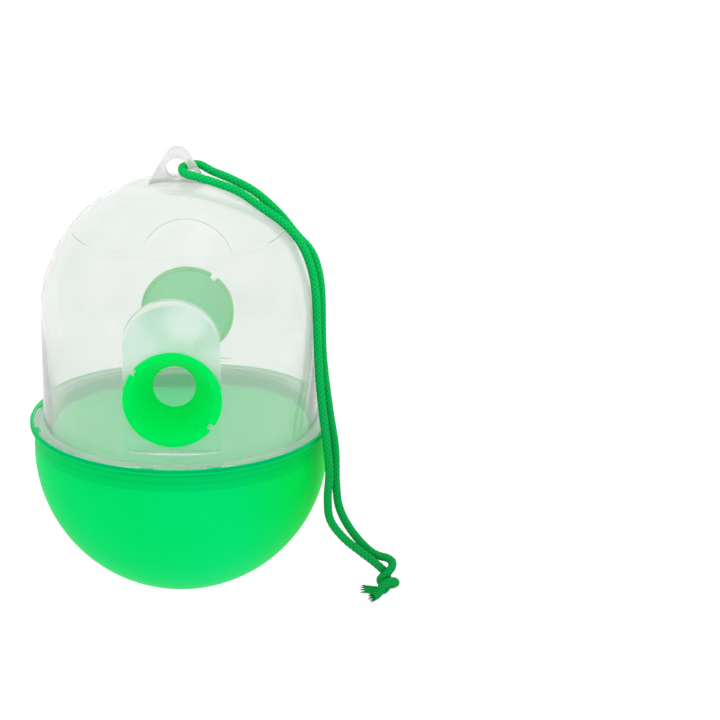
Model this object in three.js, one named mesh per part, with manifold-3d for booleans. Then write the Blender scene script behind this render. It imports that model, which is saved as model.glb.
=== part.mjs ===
// Hanging wasp trap: a green bait bowl, a clear dome with a hanging lug, two entry funnels that
// push into ports on opposite sides of the dome, and a looped cord tied off in a knot.
// Millimetres, +Z up. The origin is on the bowl's axis at the plane that its base stands on.
// The two ports face -Y (front) and +Y (rear).
import * as THREE from 'three';
import { mergeVertices } from 'three/addons/utils/BufferGeometryUtils.js';
import Module from 'manifold-3d';

const wasm = await Module();
wasm.setup();

// ---- Driving dimensions -------------------------------------------------------------------

const GAP = 0.3; // clearance between pieces that touch
const WALL = 1.2; // moulded wall of the dome and the funnels
const ROUND_SEGMENTS = 56; // facets round the bowl and dome
const ARCH_SEGMENTS = 14; // facets in each curve of a plate's outline
const PORT_SEGMENTS = 40; // facets round the ports and funnels
const FAR = 80; // reach of a cutting tool past the whole trap
const ON_AXIS = 1e-6; // a radius below this is on the axis
const SAME_POINT = 1e-4; // corners closer than this are one corner

// Bowl: a sphere with a flat foot and an upright collar
const BOWL_R = 53.5;
const BOWL_CENTRE_Z = 49.5;
const BOWL_WALL = 1.3;
const BOWL_TOP_Z = 60.1;
const LIP_R = 55.0;
const LIP_H = 2.0;
const LEDGE_Z = 58.6; // step inside the collar that the dome's flange sits on
const RIM_BORE_R = 53.8;
const FOOT_RING_R = 18.0;
const FOOT_RECESS_H = 0.8;
const BOWL_ARC_STEPS = 10;

// Locating keys on the ledge, which stop the dome from turning
const KEY_PAIRS = 4;
const KEY_OFFSET_DEG = 3;
const KEY_SPREAD_DEG = 13;
const KEY_W = 4.7;
const KEY_H = 1.2;
const KEY_INNER_R = 52.6;
const NOTCH_W = 5.3;
const NOTCH_INNER_R = KEY_INNER_R - GAP;

// Dome: an upright wall under a slightly flattened crown
const DOME_R = 50.0;
const CROWN_Z = 102.2; // where the upright wall ends
const CROWN_H = 48.0;
const CROWN_STEPS = 12;
const FLANGE_R = RIM_BORE_R - GAP;
const FLANGE_BOTTOM_Z = LEDGE_Z + GAP;
const FLANGE_TOP_Z = 60.0;
const SHOULDER_FILLET = 1.2;
const FILLET_MIDDLE = 0.3; // share of the fillet's radius that its middle stands off both faces
const SKIRT_R = 51.8;
const SKIRT_BOTTOM_Z = 52.4;

// Flat port pads, each an upright arch let into the dome's wall
const PAD_Y = 46.9;
const PAD_HALF_W = 17.4;
const PAD_BOTTOM_Z = 65.0;
const PAD_ARCH_Z = 104.0; // centre of the arch
const PORT_Z = 84.0;
const PORT_R = 16.4;
const BOSS_DEPTH = 9; // how far the arch's boss reaches into the crown

// Hanging lug
const LUG_HALF_BASE = 12.6;
const LUG_BASE_Z = 147.5;
const LUG_TOP_Z = 162.3;
const LUG_HALF_TOP = 1.9;
const LUG_CORNER = new THREE.Vector2(4.1, 160.2); // where the slanting side meets the rounded top
const LUG_ROUNDING = 0.6; // how far the top corner's control point stands out
const LUG_THICK_BASE = 5.6;
const LUG_THICK_TOP = 3.6;
const LUG_HOLE_R = 4.0;
const LUG_HOLE_Z = 154.8;
const LUG_HOLE_SEGMENTS = 24;

// Entry funnels
const FUNNEL_FLANGE_R = 17.65;
const FUNNEL_FLANGE_T = 1.1;
const CONE_MOUTH_R = 16.1; // outside of the cone behind the flange
const CONE_TIP_R = 8.5;
const CONE_LENGTH = 14.0;
const CONE_MOUTH_BORE_R = 15.4;
const ENTRY_HOLE_R = 7.3;
const FUNNEL_NOTCH_W = 2.3;
const FUNNEL_NOTCH_DEPTH = 2.7;
const FRONT_NOTCH_DEG = 143; // seen from outside, anticlockwise from the right
const REAR_NOTCH_DEG = 127;
const HOOK_W = 2.6;
const HOOK_LENGTH = 3.6;
const HOOK_ROOT_R = 13.0;
const HOOK_SLOPE = 1.4; // how far the wedge leans in along its length

// Cord
const CORD_D = 2.8;
const CORD_SIDES = 8;
const STEPS_PER_SPAN = 2;
const KNOT_CENTRE = new THREE.Vector3(75.6, -25.2, 4.5);
const KNOT_HALF = new THREE.Vector3(4.7, 4.2, 4.3);
const KNOT_NECK_END = new THREE.Vector3(75.0, -22.1, 7.4);
const KNOT_NECK_R = 2.6;
const KNOT_SEGMENTS = 16;
const KNOT_RINGS = 10;
const TAIL_ENDS = [new THREE.Vector3(67.8, -22.6, 1.5), new THREE.Vector3(70.4, -30.2, 1.5)];
const TAIL_ROOT_Z = 2.4;

// The cord's route, from the knot up over the dome, through the lug and back down to the knot
const CORD_POINTS = [
  [73.9, -22.4, 9.3], [71.0, -22.9, 12.2], [66.0, -23.6, 16.6], [59.6, -24.0, 22.4],
  [54.9, -24.2, 29.4], [54.0, -23.8, 37.0], [54.6, -23.0, 47.0], [53.9, -23.0, 56.5],
  [52.6, -21.2, 66.5], [51.0, -16.0, 80.0], [50.2, -13.4, 97.0], [49.6, -11.6, 111.5],
  [47.8, -8.0, 120.5], [44.2, -5.6, 128.4], [38.4, -6.0, 135.7], [30.6, -7.6, 142.3],
  [22.0, -8.2, 148.6], [13.4, -8.0, 152.0], [7.4, -7.0, 153.5], [3.6, -5.1, 154.0],
  [2.0, -2.5, 154.3], [1.8, 0.0, 154.4], [2.0, 2.5, 154.3], [3.6, 5.1, 154.1],
  [7.4, 6.8, 153.9], [12.2, 5.0, 152.0], [18.8, 2.6, 150.0], [27.4, 0.6, 145.9],
  [36.3, -1.0, 138.3], [42.4, -2.0, 130.8], [48.0, -3.2, 124.4], [51.0, -6.2, 115.6],
  [52.1, -9.8, 87.0], [54.4, -14.8, 69.0], [56.6, -17.8, 54.6], [56.9, -18.5, 42.0],
  [58.2, -19.2, 31.8], [63.4, -19.5, 21.9], [70.6, -19.2, 14.2], [76.0, -20.4, 12.8],
].map(([x, y, z]) => new THREE.Vector3(x, y, z));

// ---- Materials ----------------------------------------------------------------------------

/** A plain standard material of one colour. */
function plastic(color, roughness) {
  return new THREE.MeshStandardMaterial({ color, roughness, metalness: 0 });
}

const greenPolypropylene = () => plastic(0x05e070, 0.3);
const clearPolypropylene = () => plastic(0xe9efea, 0.25);
const funnelGreen = () => plastic(0x02dc4c, 0.35);
const greenBraid = () => plastic(0x02a84e, 0.85);

// ---- Shape helpers ------------------------------------------------------------------------

/** A solid from a closed three.js geometry. Triangles that shrink to a line at a pole are dropped. */
function solid(geometry) {
  const bare = geometry.clone();
  bare.deleteAttribute('normal');
  bare.deleteAttribute('uv');
  const merged = mergeVertices(bare, SAME_POINT);
  const index = merged.getIndex().array;
  const triVerts = [];
  for (let i = 0; i < index.length; i += 3) {
    const [a, b, c] = [index[i], index[i + 1], index[i + 2]];
    if (a !== b && b !== c && c !== a) triVerts.push(a, b, c);
  }
  return new wasm.Manifold(new wasm.Mesh({
    numProp: 3,
    vertProperties: new Float32Array(merged.getAttribute('position').array),
    triVerts: new Uint32Array(triVerts),
  }));
}

/** A named mesh from a solid. */
function part(name, body, material) {
  const { vertProperties, triVerts } = body.getMesh();
  const geometry = new THREE.BufferGeometry();
  geometry.setAttribute('position', new THREE.BufferAttribute(vertProperties, 3));
  geometry.setIndex(new THREE.BufferAttribute(triVerts, 1));
  geometry.computeVertexNormals();
  const mesh = new THREE.Mesh(geometry, material);
  mesh.name = name;
  return mesh;
}

/** A profile of [radius, height] pairs turned about the Z axis. It runs anticlockwise. */
function revolved(profile, segments) {
  const points = profile.map(([r, z]) => new THREE.Vector2(r, z));
  const lathe = new THREE.LatheGeometry(points, segments);
  lathe.rotateX(Math.PI / 2);
  return solid(lathe);
}

/** Points of an elliptical arc in the profile plane, from one angle to another in degrees. */
function arc(centreZ, radius, height, fromDeg, toDeg, steps) {
  const points = [];
  for (let i = 0; i <= steps; i += 1) {
    const angle = THREE.MathUtils.degToRad(fromDeg + (toDeg - fromDeg) * i / steps);
    const across = radius * Math.cos(angle);
    points.push([Math.abs(across) < ON_AXIS ? 0 : across, centreZ + height * Math.sin(angle)]);
  }
  return points;
}

/** A cylinder along Y between two values of y, centred at height z. */
function rodAlongY(radius, y0, y1, z, segments) {
  const cylinder = new THREE.CylinderGeometry(radius, radius, y1 - y0, segments);
  cylinder.translate(0, (y0 + y1) / 2, z);
  return solid(cylinder);
}

/** An outline in the XZ plane given thickness along Y, from y0 to y1. */
function plateAcrossY(shape, y0, y1) {
  const plate = new THREE.ExtrudeGeometry(shape, {
    depth: y1 - y0,
    bevelEnabled: false,
    curveSegments: ARCH_SEGMENTS,
  });
  plate.rotateX(Math.PI / 2);
  plate.translate(0, y1, 0);
  return plate;
}

/** Joins a list of solids. */
function joined(bodies) {
  return bodies.reduce((whole, body) => whole.add(body));
}

// ---- Bowl ---------------------------------------------------------------------------------

/** The angles of the locating keys about the axis, in radians. */
function keyAngles() {
  const angles = [];
  for (let i = 0; i < KEY_PAIRS; i += 1) {
    for (const side of [-1, 1]) {
      const degrees = -90 + i * 360 / KEY_PAIRS + KEY_OFFSET_DEG + side * KEY_SPREAD_DEG;
      angles.push(THREE.MathUtils.degToRad(degrees));
    }
  }
  return angles;
}

/** A block that lies across a radius at each key's angle. */
function keyBlocks(width, innerR, outerR, lowZ, highZ) {
  return keyAngles().map((angle) => {
    const box = new THREE.BoxGeometry(outerR - innerR, width, highZ - lowZ);
    box.translate((innerR + outerR) / 2, 0, (lowZ + highZ) / 2);
    box.rotateZ(angle);
    return solid(box);
  });
}

/** Angle below the horizontal at which a sphere about the bowl's centre reaches a height. */
function bowlAngle(radius, z) {
  return THREE.MathUtils.radToDeg(Math.asin((z - BOWL_CENTRE_Z) / radius));
}

/** The bowl: a shell on a foot ring, with its collar, lip and ledge, and the keys on the ledge. */
function bowlSolid() {
  const innerR = BOWL_R - BOWL_WALL;
  const floorZ = FOOT_RECESS_H + BOWL_WALL;
  const shell = revolved([
    [0, FOOT_RECESS_H],
    [FOOT_RING_R, FOOT_RECESS_H],
    [FOOT_RING_R, 0],
    ...arc(BOWL_CENTRE_Z, BOWL_R, BOWL_R, bowlAngle(BOWL_R, 0), 0, BOWL_ARC_STEPS),
    [BOWL_R, BOWL_TOP_Z - LIP_H],
    [LIP_R, BOWL_TOP_Z - LIP_H],
    [LIP_R, BOWL_TOP_Z],
    [RIM_BORE_R, BOWL_TOP_Z],
    [RIM_BORE_R, LEDGE_Z],
    [innerR, LEDGE_Z],
    ...arc(BOWL_CENTRE_Z, innerR, innerR, 0, bowlAngle(innerR, floorZ), BOWL_ARC_STEPS),
    [0, floorZ],
  ], ROUND_SEGMENTS);
  const keys = keyBlocks(KEY_W, KEY_INNER_R, RIM_BORE_R + GAP, LEDGE_Z - GAP, LEDGE_Z + KEY_H);
  return joined([shell, ...keys]);
}

// ---- Dome ---------------------------------------------------------------------------------

/** An upright arch outline: straight sides under a half circle, grown outwards by a margin. */
function archShape(margin) {
  const half = PAD_HALF_W + margin;
  const shape = new THREE.Shape();
  shape.moveTo(-half, PAD_BOTTOM_Z - margin);
  shape.lineTo(-half, PAD_ARCH_Z);
  shape.absarc(0, PAD_ARCH_Z, half, Math.PI, 0, true);
  shape.lineTo(half, PAD_BOTTOM_Z - margin);
  shape.closePath();
  return shape;
}

/** The arch as a solid on one side of the dome, between two distances from the axis. */
function archSolid(side, nearY, farY, margin) {
  const [y0, y1] = side < 0 ? [-farY, -nearY] : [nearY, farY];
  return solid(plateAcrossY(archShape(margin), y0, y1));
}

/** The dome's outer form with its flange and skirt, before anything is hollowed out. */
function domeOuter() {
  return revolved([
    [0, SKIRT_BOTTOM_Z],
    [SKIRT_R, SKIRT_BOTTOM_Z],
    [SKIRT_R, FLANGE_BOTTOM_Z],
    [FLANGE_R, FLANGE_BOTTOM_Z],
    [FLANGE_R, FLANGE_TOP_Z],
    [DOME_R + SHOULDER_FILLET, FLANGE_TOP_Z],
    [DOME_R + FILLET_MIDDLE * SHOULDER_FILLET, FLANGE_TOP_Z + FILLET_MIDDLE * SHOULDER_FILLET],
    [DOME_R, FLANGE_TOP_Z + SHOULDER_FILLET],
    ...arc(CROWN_Z, DOME_R, CROWN_H, 0, 90, CROWN_STEPS),
  ], ROUND_SEGMENTS);
}

/** The space inside the dome. */
function domeHollow() {
  const innerR = DOME_R - WALL;
  const skirtBore = SKIRT_R - WALL;
  const whole = revolved([
    [0, SKIRT_BOTTOM_Z - FAR],
    [skirtBore, SKIRT_BOTTOM_Z - FAR],
    [skirtBore, FLANGE_BOTTOM_Z - WALL],
    [innerR, FLANGE_TOP_Z - WALL],
    ...arc(CROWN_Z, innerR, CROWN_H - WALL, 0, 90, CROWN_STEPS),
  ], ROUND_SEGMENTS);
  return [-1, 1].reduce((space, side) => space.subtract(archSolid(side, PAD_Y - WALL, FAR, WALL)), whole);
}

/** The lug: a plate that thins towards its rounded top. */
function lugSolid() {
  const shape = new THREE.Shape();
  shape.moveTo(-LUG_HALF_BASE, LUG_BASE_Z);
  shape.lineTo(-LUG_CORNER.x, LUG_CORNER.y);
  shape.quadraticCurveTo(-LUG_HALF_TOP - LUG_ROUNDING, LUG_TOP_Z, -LUG_HALF_TOP, LUG_TOP_Z);
  shape.lineTo(LUG_HALF_TOP, LUG_TOP_Z);
  shape.quadraticCurveTo(LUG_HALF_TOP + LUG_ROUNDING, LUG_TOP_Z, LUG_CORNER.x, LUG_CORNER.y);
  shape.lineTo(LUG_HALF_BASE, LUG_BASE_Z);
  shape.closePath();
  const plate = plateAcrossY(shape, -0.5, 0.5);
  const position = plate.getAttribute('position');
  for (let i = 0; i < position.count; i += 1) {
    const rise = (position.getZ(i) - LUG_BASE_Z) / (LUG_TOP_Z - LUG_BASE_Z);
    const thickness = THREE.MathUtils.lerp(LUG_THICK_BASE, LUG_THICK_TOP, rise);
    position.setY(i, position.getY(i) * thickness);
  }
  const hole = rodAlongY(LUG_HOLE_R, -FAR, FAR, LUG_HOLE_Z, LUG_HOLE_SEGMENTS);
  return solid(plate).subtract(hole);
}

/** The dome: one moulding with its lug, pads, ports, flange and skirt. */
function domeSolid() {
  let dome = domeOuter();
  for (const side of [-1, 1]) {
    dome = dome.add(archSolid(side, PAD_Y - BOSS_DEPTH, PAD_Y, 0));
    dome = dome.subtract(archSolid(side, PAD_Y, FAR, 0));
  }
  dome = dome.add(lugSolid()).subtract(domeHollow());
  dome = dome.subtract(rodAlongY(PORT_R, -FAR, FAR, PORT_Z, PORT_SEGMENTS));
  const notches = keyBlocks(NOTCH_W, NOTCH_INNER_R, LIP_R, FLANGE_BOTTOM_Z - GAP, FLANGE_TOP_Z + GAP);
  return dome.subtract(joined(notches));
}

// ---- Entry funnels ------------------------------------------------------------------------

/** A funnel about the Z axis: its flange's outer face is at z = 0 and its tip points to -Z. */
function funnelUpright(notchDeg) {
  const backZ = -FUNNEL_FLANGE_T;
  const tipZ = backZ - CONE_LENGTH;
  let funnel = revolved([
    [ENTRY_HOLE_R, tipZ],
    [CONE_TIP_R, tipZ],
    [CONE_MOUTH_R, backZ],
    [FUNNEL_FLANGE_R, backZ],
    [FUNNEL_FLANGE_R, 0],
    [CONE_MOUTH_BORE_R, 0],
    [ENTRY_HOLE_R, tipZ],
  ], PORT_SEGMENTS);
  for (const turn of [0, 180]) {
    const angle = THREE.MathUtils.degToRad(notchDeg + turn);
    funnel = funnel.add(hook(backZ - WALL - 2 * GAP, angle));
    funnel = funnel.subtract(flangeNotch(backZ, angle));
  }
  return funnel.subtract(revolved([
    [0, tipZ - GAP],
    [ENTRY_HOLE_R, tipZ - GAP],
    [ENTRY_HOLE_R, tipZ],
    [CONE_MOUTH_BORE_R, 0],
    [CONE_MOUTH_BORE_R, GAP],
    [0, GAP],
  ], PORT_SEGMENTS));
}

/** The wedge on the cone that catches behind the dome's wall. */
function hook(topZ, angle) {
  const shape = new THREE.Shape();
  shape.moveTo(HOOK_ROOT_R, topZ);
  shape.lineTo(HOOK_ROOT_R - HOOK_SLOPE, topZ - HOOK_LENGTH);
  shape.lineTo(CONE_MOUTH_R, topZ);
  shape.closePath();
  const wedge = new THREE.ExtrudeGeometry(shape, { depth: HOOK_W, bevelEnabled: false });
  wedge.translate(0, 0, -HOOK_W / 2);
  wedge.rotateX(Math.PI / 2);
  wedge.rotateZ(angle);
  return solid(wedge);
}

/** The open notch in the flange's edge. */
function flangeNotch(backZ, angle) {
  const innerR = FUNNEL_FLANGE_R - FUNNEL_NOTCH_DEPTH;
  const box = new THREE.BoxGeometry(2 * FUNNEL_NOTCH_DEPTH, FUNNEL_NOTCH_W, FUNNEL_FLANGE_T + 2 * GAP);
  box.translate(innerR + FUNNEL_NOTCH_DEPTH, 0, backZ / 2);
  box.rotateZ(angle);
  return solid(box);
}

/** A funnel in its port, on the front (-1) or the rear (+1). */
function funnelMesh(name, side, notchDeg) {
  const funnel = part(name, funnelUpright(notchDeg), funnelGreen());
  funnel.rotation.set(Math.PI / 2, side > 0 ? Math.PI : 0, 0);
  funnel.position.set(0, side * (PAD_Y + GAP + FUNNEL_FLANGE_T), PORT_Z);
  return funnel;
}

// ---- Cord and knot ------------------------------------------------------------------------

/** The cord as a plain tube along its route. */
function cordMesh() {
  const route = new THREE.CatmullRomCurve3(CORD_POINTS, false, 'centripetal');
  route.getUtoTmapping = (u) => u; // equal steps from point to point, so the tight bight gets short ones
  const section = new THREE.Shape();
  section.absarc(0, 0, CORD_D / 2, 0, 2 * Math.PI, false);
  const tube = new THREE.ExtrudeGeometry(section, {
    steps: STEPS_PER_SPAN * (CORD_POINTS.length - 1),
    extrudePath: route,
    curveSegments: CORD_SIDES / 2,
    bevelEnabled: false,
  });
  return part('hanging_cord', solid(tube), greenBraid());
}

/** A round bar between two points. */
function bar(from, to, radius) {
  const length = from.distanceTo(to);
  const cylinder = new THREE.CylinderGeometry(radius, radius, length, CORD_SIDES);
  const along = new THREE.Vector3().subVectors(to, from).normalize();
  const turn = new THREE.Quaternion().setFromUnitVectors(new THREE.Vector3(0, 1, 0), along);
  cylinder.applyQuaternion(turn);
  const middle = new THREE.Vector3().addVectors(from, to).multiplyScalar(0.5);
  cylinder.translate(middle.x, middle.y, middle.z);
  return solid(cylinder);
}

/** The knot's outer form: a ball, the neck that the strands enter by, and two tails. */
function knotMesh() {
  const ball = new THREE.SphereGeometry(1, KNOT_SEGMENTS, KNOT_RINGS);
  ball.scale(KNOT_HALF.x, KNOT_HALF.y, KNOT_HALF.z);
  ball.translate(KNOT_CENTRE.x, KNOT_CENTRE.y, KNOT_CENTRE.z);
  const root = new THREE.Vector3(KNOT_CENTRE.x, KNOT_CENTRE.y, TAIL_ROOT_Z);
  const tails = TAIL_ENDS.map((end) => bar(root, end, CORD_D / 2));
  const neck = bar(KNOT_CENTRE, KNOT_NECK_END, KNOT_NECK_R);
  return part('cord_knot', joined([solid(ball), neck, ...tails]), greenBraid());
}

// ---- Assembly -----------------------------------------------------------------------------

const group = new THREE.Group();
group.add(part('bait_bowl', bowlSolid(), greenPolypropylene()));
group.add(part('clear_dome', domeSolid(), clearPolypropylene()));
group.add(funnelMesh('front_entry_funnel', -1, FRONT_NOTCH_DEG));
group.add(funnelMesh('rear_entry_funnel', 1, REAR_NOTCH_DEG));
group.add(cordMesh());
group.add(knotMesh());

export default group;
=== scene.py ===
"""Wasp trap: a green bait bowl, a clear dome with a hanging lug, two entry funnels and a braided cord."""

import logging
import math
import random
from dataclasses import dataclass, field
from enum import Enum
from typing import Sequence

import bmesh
import bpy
from mathutils import Matrix, Vector


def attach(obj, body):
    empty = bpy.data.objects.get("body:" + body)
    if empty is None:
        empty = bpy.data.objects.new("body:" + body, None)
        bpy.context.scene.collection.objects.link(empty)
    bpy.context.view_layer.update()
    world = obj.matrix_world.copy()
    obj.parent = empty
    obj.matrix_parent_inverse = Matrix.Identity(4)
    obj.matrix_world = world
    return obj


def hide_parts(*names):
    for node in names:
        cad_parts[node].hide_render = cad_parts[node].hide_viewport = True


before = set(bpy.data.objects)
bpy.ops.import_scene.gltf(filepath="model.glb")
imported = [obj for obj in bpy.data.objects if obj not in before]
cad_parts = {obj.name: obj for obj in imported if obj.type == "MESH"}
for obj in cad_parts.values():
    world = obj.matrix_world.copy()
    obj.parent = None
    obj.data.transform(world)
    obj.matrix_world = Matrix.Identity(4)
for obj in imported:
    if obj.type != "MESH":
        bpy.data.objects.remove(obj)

LOG = logging.getLogger("wasp_trap")
MM = 0.001
MERGE = 1e-6  # metres within which two corners are the same corner
BEVEL_STEPS = 3  # facets in a rounded edge
NOISE_SPAN = (0.3, 0.7)  # where nearly all values of a noise lie

Pair = tuple[float, float]
Triple = tuple[float, float, float]
Mesh = bmesh.types.BMesh
Object = bpy.types.Object
Material = bpy.types.Material
Tree = bpy.types.NodeTree
Socket = bpy.types.NodeSocket


# ---- Small helpers ----


def linear(hex_colour: str) -> tuple[float, float, float, float]:
    """Turns an sRGB hex colour to linear light.

    Args:
        hex_colour: Six hex digits, with or without a leading #.

    Returns:
        Red, green, blue and an alpha of 1.
    """
    digits = hex_colour.lstrip("#")
    channels = []
    for start in (0, 2, 4):
        value = int(digits[start:start + 2], 16) / 255
        channels.append(value / 12.92 if value <= 0.04045 else ((value + 0.055) / 1.055) ** 2.4)
    return (*channels, 1.0)


def add_node(
    tree: Tree,
    kind: str,
    settings: dict[str, object] | None = None,
    inputs: dict[str | int, object] | None = None,
) -> bpy.types.Node:
    """Adds a node with its settings, values and links.

    Args:
        tree: The node tree that gets it.
        kind: The node's type name after "ShaderNode".
        settings: Attributes of the node.
        inputs: What each input socket gets: a value, or another node's output socket.

    Returns:
        The new node.
    """
    node = tree.nodes.new(f"ShaderNode{kind}")
    for name, value in (settings or {}).items():
        setattr(node, name, value)
    for name, value in (inputs or {}).items():
        if isinstance(value, Socket):
            tree.links.new(value, node.inputs[name])
        else:
            node.inputs[name].default_value = value
    return node


def new_material(name: str) -> tuple[Material, Tree]:
    """Makes an empty node material.

    Args:
        name: The material's name.

    Returns:
        The material and its node tree.
    """
    material = bpy.data.materials.new(name)
    material.use_nodes = True
    material.node_tree.nodes.clear()
    return material, material.node_tree


def finish_object(mesh: Mesh, name: str, materials: Sequence[Material], sharp_deg: float = 30.0) -> Object:
    """Makes a smooth-shaded object at the origin from a bmesh, and frees the bmesh.

    Args:
        mesh: The shape, in metres, in the trap's frame.
        name: The object's name.
        materials: Its materials, in slot order.
        sharp_deg: Edges that turn by more than this stay crisp.

    Returns:
        The new object.
    """
    data = bpy.data.meshes.new(name)
    mesh.to_mesh(data)
    mesh.free()
    for polygon in data.polygons:
        polygon.use_smooth = True
    data.set_sharp_from_angle(angle=math.radians(sharp_deg))
    for material in materials:
        data.materials.append(material)
    piece = bpy.data.objects.new(name, data)
    bpy.context.scene.collection.objects.link(piece)
    return piece


def rounded(corners: Sequence[tuple[float, ...]], steps: int = 4) -> list[Pair]:
    """Draws an open outline whose corners are rounded by arcs.

    Args:
        corners: Points (a, b) that stay sharp, or (a, b, radius) that are rounded.
        steps: Facets in each rounded corner.

    Returns:
        The outline's points.
    """
    points: list[Pair] = []
    for i, corner in enumerate(corners):
        here = Vector(corner[:2])
        if len(corner) < 3 or i in (0, len(corners) - 1):
            points.append(tuple(here))
            continue
        radius = corner[2]
        back = (Vector(corners[i - 1][:2]) - here).normalized()
        ahead = (Vector(corners[i + 1][:2]) - here).normalized()
        half = back.angle(ahead) / 2
        centre = here + (back + ahead).normalized() * (radius / math.sin(half))
        start = here + back * (radius / math.tan(half)) - centre
        end = here + ahead * (radius / math.tan(half)) - centre
        sweep = start.angle_signed(end)
        for k in range(steps + 1):
            turned = Matrix.Rotation(-sweep * k / steps, 2) @ start
            points.append(tuple(centre + turned))
    return points


def arc(centre: Pair, size: Pair, from_deg: float, to_deg: float, steps: int) -> list[Pair]:
    """Points in even steps along an ellipse, given its centre, its half sizes and two angles."""
    turns = [math.radians(from_deg + (to_deg - from_deg) * k / steps) for k in range(steps + 1)]
    return [(centre[0] + size[0] * math.cos(turn), centre[1] + size[1] * math.sin(turn)) for turn in turns]


def spun(profile: Sequence[Pair], steps: int, closed: bool = False) -> Mesh:
    """Turns a profile about the Z axis.

    Args:
        profile: Points (radius, height) in millimetres.
        steps: Facets round the axis.
        closed: True if the profile's last point joins its first.

    Returns:
        A closed solid in metres.
    """
    shape = bmesh.new()
    verts = [shape.verts.new((max(r, 0.0) * MM, 0, z * MM)) for r, z in profile]
    edges = [shape.edges.new(pair) for pair in zip(verts, verts[1:])]
    if closed:
        edges.append(shape.edges.new((verts[-1], verts[0])))
    bmesh.ops.spin(shape, geom=verts + edges, cent=(0, 0, 0), axis=(0, 0, 1),
                   angle=math.tau, steps=steps, use_merge=True)
    bmesh.ops.remove_doubles(shape, verts=shape.verts[:], dist=MERGE)
    bmesh.ops.recalc_face_normals(shape, faces=shape.faces[:])
    return shape


def prism(outline: Sequence[Pair], y0: float, y1: float, bevel: float = 0.0) -> Mesh:
    """Gives an outline in the XZ plane thickness along Y.

    Args:
        outline: Points (x, z) in millimetres.
        y0: The near face.
        y1: The far face.
        bevel: Rounding of the edges of both faces, in millimetres.

    Returns:
        A closed solid in metres.
    """
    shape = bmesh.new()
    verts = [shape.verts.new((x * MM, y0 * MM, z * MM)) for x, z in outline]
    face = shape.faces.new(verts)
    grown = bmesh.ops.extrude_face_region(shape, geom=[face])
    moved = [v for v in grown["geom"] if isinstance(v, bmesh.types.BMVert)]
    bmesh.ops.translate(shape, verts=moved, vec=(0, (y1 - y0) * MM, 0))
    bmesh.ops.recalc_face_normals(shape, faces=shape.faces[:])
    if bevel:
        ends = {min(y0, y1) * MM, max(y0, y1) * MM}
        rims = [e for e in shape.edges if abs(e.verts[0].co.y - e.verts[1].co.y) < MERGE]
        rims = [e for e in rims if any(abs(e.verts[0].co.y - end) < MERGE for end in ends)]
        bmesh.ops.bevel(shape, geom=rims, offset=bevel * MM, segments=BEVEL_STEPS, profile=0.5,
                        affect="EDGES", material=-1)
    return shape


def slab(centre: Sequence[float], size: Sequence[float], turn_deg: float = 0.0) -> Mesh:
    """A box turned about the Z axis after it is put in place.

    Args:
        centre: Its centre before the turn, in millimetres.
        size: Its three sides, in millimetres.
        turn_deg: The turn about the Z axis.

    Returns:
        A closed solid in metres.
    """
    shape = bmesh.new()
    bmesh.ops.create_cube(shape, size=1.0)
    place = Matrix.Rotation(math.radians(turn_deg), 4, "Z") @ Matrix.Translation(Vector(centre) * MM)
    scale = Matrix.Diagonal((*(side * MM for side in size), 1))
    bmesh.ops.transform(shape, verts=shape.verts, matrix=place @ scale)
    return shape


def drill(radius: float, z: float, depth: float, steps: int) -> Mesh:
    """Makes the tool for a round hole along Y, above the origin.

    Args:
        radius: Its radius, in millimetres.
        z: Its height.
        depth: Its length, half of it on each side of the XZ plane.
        steps: Facets round it.

    Returns:
        A closed solid in metres.
    """
    shape = bmesh.new()
    bmesh.ops.create_cone(shape, cap_ends=True, segments=steps, radius1=radius * MM, radius2=radius * MM,
                          depth=depth * MM)
    bmesh.ops.rotate(shape, verts=shape.verts, matrix=Matrix.Rotation(math.pi / 2, 3, "X"))
    bmesh.ops.translate(shape, verts=shape.verts, vec=(0, 0, z * MM))
    return shape


class Join(Enum):
    """How a second solid changes a first one."""

    ADD = "UNION"
    CUT = "DIFFERENCE"


def combine(base: Mesh, tool: Mesh, how: Join) -> Mesh:
    """Joins a solid to another, or cuts it out.

    Args:
        base: The solid that is changed. It is freed.
        tool: The solid that is added or cut out. It is freed.
        how: Whether it is added or cut out.

    Returns:
        The changed solid.
    """
    objects = []
    for name, shape in (("base", base), ("tool", tool)):
        data = bpy.data.meshes.new(name)
        shape.to_mesh(data)
        shape.free()
        objects.append(bpy.data.objects.new(name, data))
        bpy.context.scene.collection.objects.link(objects[-1])
    modifier = objects[0].modifiers.new("join", "BOOLEAN")
    modifier.object = objects[1]
    modifier.operation = how.value
    modifier.solver = "MANIFOLD"
    graph = bpy.context.evaluated_depsgraph_get()
    result = bmesh.new()
    result.from_mesh(objects[0].evaluated_get(graph).to_mesh())
    for leftover in objects:
        data = leftover.data
        bpy.data.objects.remove(leftover)
        bpy.data.meshes.remove(data)
    bmesh.ops.remove_doubles(result, verts=result.verts[:], dist=MERGE)
    return result


# ---- Finishes ----


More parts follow.
